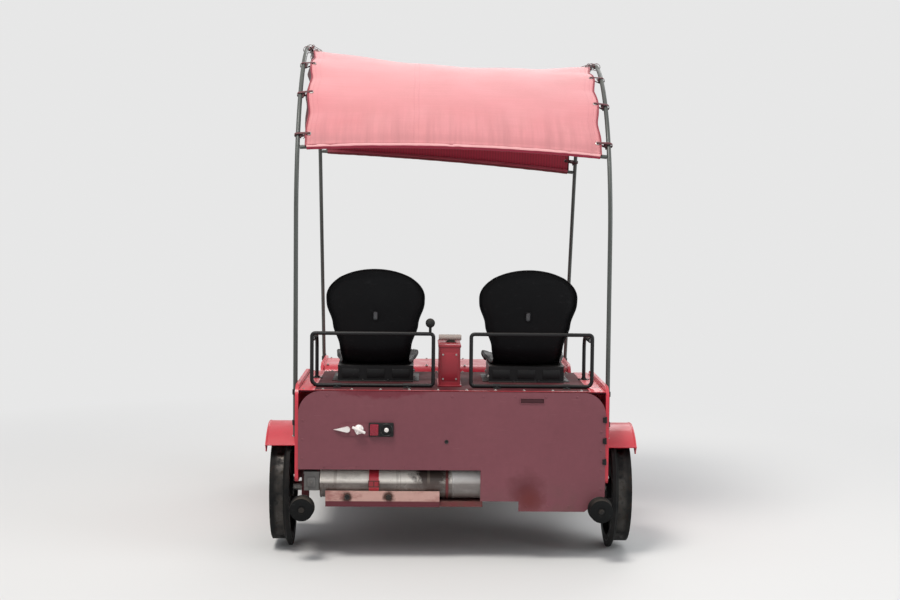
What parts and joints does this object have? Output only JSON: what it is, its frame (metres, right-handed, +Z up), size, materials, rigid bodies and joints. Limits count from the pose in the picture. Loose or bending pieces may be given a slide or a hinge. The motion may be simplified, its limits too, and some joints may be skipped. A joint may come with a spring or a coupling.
{
  "type": "two-seat pedal rail car",
  "caption": "Pedal-driven rail car with two bucket seats side by side, flanged wheels, red body and an arched cloth canopy.",
  "frame": {"origin": "on the ground under the middle of the car, level with the lowest points of the wheel flanges", "axes": "+Y ahead along the track, +X to the riders' right, +Z up"},
  "size_m": [1.58, 2.4, 2.2245],
  "materials": {
    "red_paint": "satin",
    "maroon_paint": "matte",
    "frame_paint": "satin",
    "black_paint": "satin",
    "hoop_paint": "satin",
    "seat_plastic": "matte",
    "tyre_black": "matte",
    "shaft_steel": "satin",
    "buffer_rubber": "matte",
    "worn_tube": "satin",
    "tow_paint": "satin",
    "grey_paint": "satin",
    "plate_metal": "satin",
    "pedal_plastic": "matte",
    "chain_steel": "satin",
    "canopy_cloth": "woven",
    "floor_steel": "satin",
    "lever_metal": "satin"
  },
  "bodies": {
    "root": {"axle_boxes": "frame_paint", "frame_rails": "frame_paint", "cross_members": "frame_paint", "chains": "chain_steel", "floor_pan": "floor_steel", "seat_box_front": "red_paint", "seat_deck": "frame_paint", "side_panel_left": "red_paint", "side_panel_right": "red_paint", "front_cowl": "red_paint", "rear_panel": "maroon_paint", "fenders": "red_paint", "buffers": "buffer_rubber", "buffer_arms": "frame_paint", "stowage_tube": "worn_tube", "stowage_strap": "red_paint", "stowage_shelf": "frame_paint", "tow_bars": "tow_paint", "grey_box": "grey_paint", "latch_plate": "plate_metal", "seat_shell_left": "seat_plastic", "seat_shell_right": "seat_plastic", "seat_bases": "black_paint", "seat_guard_left": "black_paint", "seat_guard_right": "black_paint", "guard_knob": "pedal_plastic", "console": "red_paint", "brake_lever": "lever_metal", "brake_beam": "black_paint", "brake_shoes": "tyre_black", "crank_posts": "red_paint", "hoop_left": "hoop_paint", "hoop_right": "hoop_paint", "cross_bars": "hoop_paint", "canopy_cloth": "canopy_cloth"},
    "rear_axle": {"rear_shaft": "shaft_steel", "rear_wheel_left": "tyre_black", "rear_wheel_right": "tyre_black", "rear_sprockets": "chain_steel"},
    "front_axle": {"front_shaft": "shaft_steel", "front_wheel_left": "tyre_black", "front_wheel_right": "tyre_black"},
    "crank_left": {"crank_left": "shaft_steel"},
    "crank_right": {"crank_right": "shaft_steel"},
    "pedal_left_outer": {"pedal_left_outer": "pedal_plastic"},
    "pedal_left_inner": {"pedal_left_inner": "pedal_plastic"},
    "pedal_right_inner": {"pedal_right_inner": "pedal_plastic"},
    "pedal_right_outer": {"pedal_right_outer": "pedal_plastic"}
  },
  "joints": [
    {"name": "rear_axle_spin", "type": "hinge", "parent": "root", "child": "rear_axle", "pos_m": [0, -0.8, 0.257], "axis": [1, 0, 0], "continuous": true},
    {"name": "front_axle_spin", "type": "hinge", "parent": "root", "child": "front_axle", "pos_m": [0, 0.7, 0.257], "axis": [1, 0, 0], "continuous": true},
    {"name": "crank_left_spin", "type": "hinge", "parent": "root", "child": "crank_left", "pos_m": [-0.33, 0.25, 0.65], "axis": [1, 0, 0], "continuous": true},
    {"name": "crank_right_spin", "type": "hinge", "parent": "root", "child": "crank_right", "pos_m": [0.33, 0.25, 0.65], "axis": [1, 0, 0], "continuous": true},
    {"name": "pedal_left_outer_spin", "type": "hinge", "parent": "crank_left", "child": "pedal_left_outer", "pos_m": [-0.456, 0.10711, 0.5675], "axis": [1, 0, 0], "continuous": true},
    {"name": "pedal_left_inner_spin", "type": "hinge", "parent": "crank_left", "child": "pedal_left_inner", "pos_m": [-0.204, 0.39289, 0.7325], "axis": [1, 0, 0], "continuous": true},
    {"name": "pedal_right_inner_spin", "type": "hinge", "parent": "crank_right", "child": "pedal_right_inner", "pos_m": [0.204, 0.10711, 0.5675], "axis": [1, 0, 0], "continuous": true},
    {"name": "pedal_right_outer_spin", "type": "hinge", "parent": "crank_right", "child": "pedal_right_outer", "pos_m": [0.456, 0.39289, 0.7325], "axis": [1, 0, 0], "continuous": true}
  ]
}
